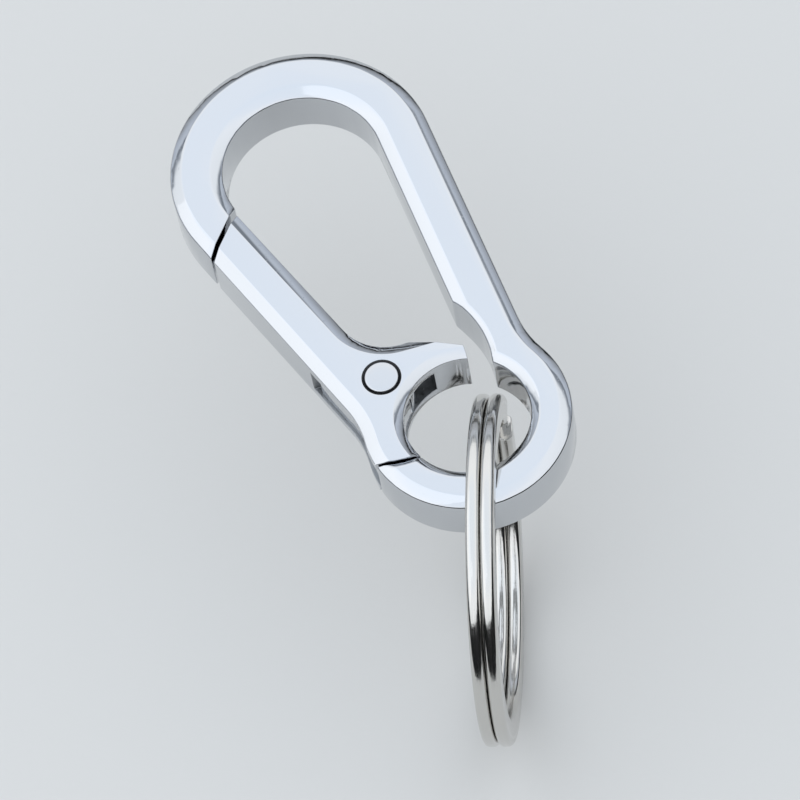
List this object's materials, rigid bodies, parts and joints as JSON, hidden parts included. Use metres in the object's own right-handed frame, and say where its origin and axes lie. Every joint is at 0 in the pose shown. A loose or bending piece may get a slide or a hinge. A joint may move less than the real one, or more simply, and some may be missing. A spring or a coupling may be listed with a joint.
{
  "type": "carabiner keyring",
  "caption": "Gourd-shaped snap hook with a forked, spring-closed gate and a split key ring hanging in its key eye.",
  "frame": {"origin": "centre of the crown's arc, half way through the hook's thickness", "axes": "+Z out of the hook's front face, +Y along the hook towards the crown, +X from the gate towards the spine; the split ring hangs along -Z"},
  "size_m": [0.0233, 0.0622, 0.03],
  "materials": {
    "plated_casting": "die-cast zinc alloy, polished and bright chrome plated",
    "pin_steel": "plated steel pin, polished ends",
    "spring_wire": "drawn spring wire",
    "ring_steel": "rolled flat steel wire, nickel plated and tumbled bright"
  },
  "bodies": {
    "hook": {"hook_frame": "plated_casting", "return_spring": "spring_wire"},
    "gate": {"gate": "plated_casting", "pivot_pin": "pin_steel"},
    "key_ring": {"split_ring": "ring_steel"}
  },
  "joints": [
    {"name": "gate_hinge", "type": "hinge", "parent": "hook", "child": "gate", "pos_m": [-0.00445, -0.02215, 0], "axis": [0, 0, -1], "range_deg": [0, 25], "stiffness_Nm_per_rad": 0.011, "springref_deg": -68.75, "deforming": ["return_spring"]},
    {"name": "ring_swing", "type": "hinge", "parent": "hook", "child": "key_ring", "pos_m": [-0.00354, -0.03488, 0], "axis": [-0.8607, 0.509, 0], "range_deg": [0, 150]}
  ]
}
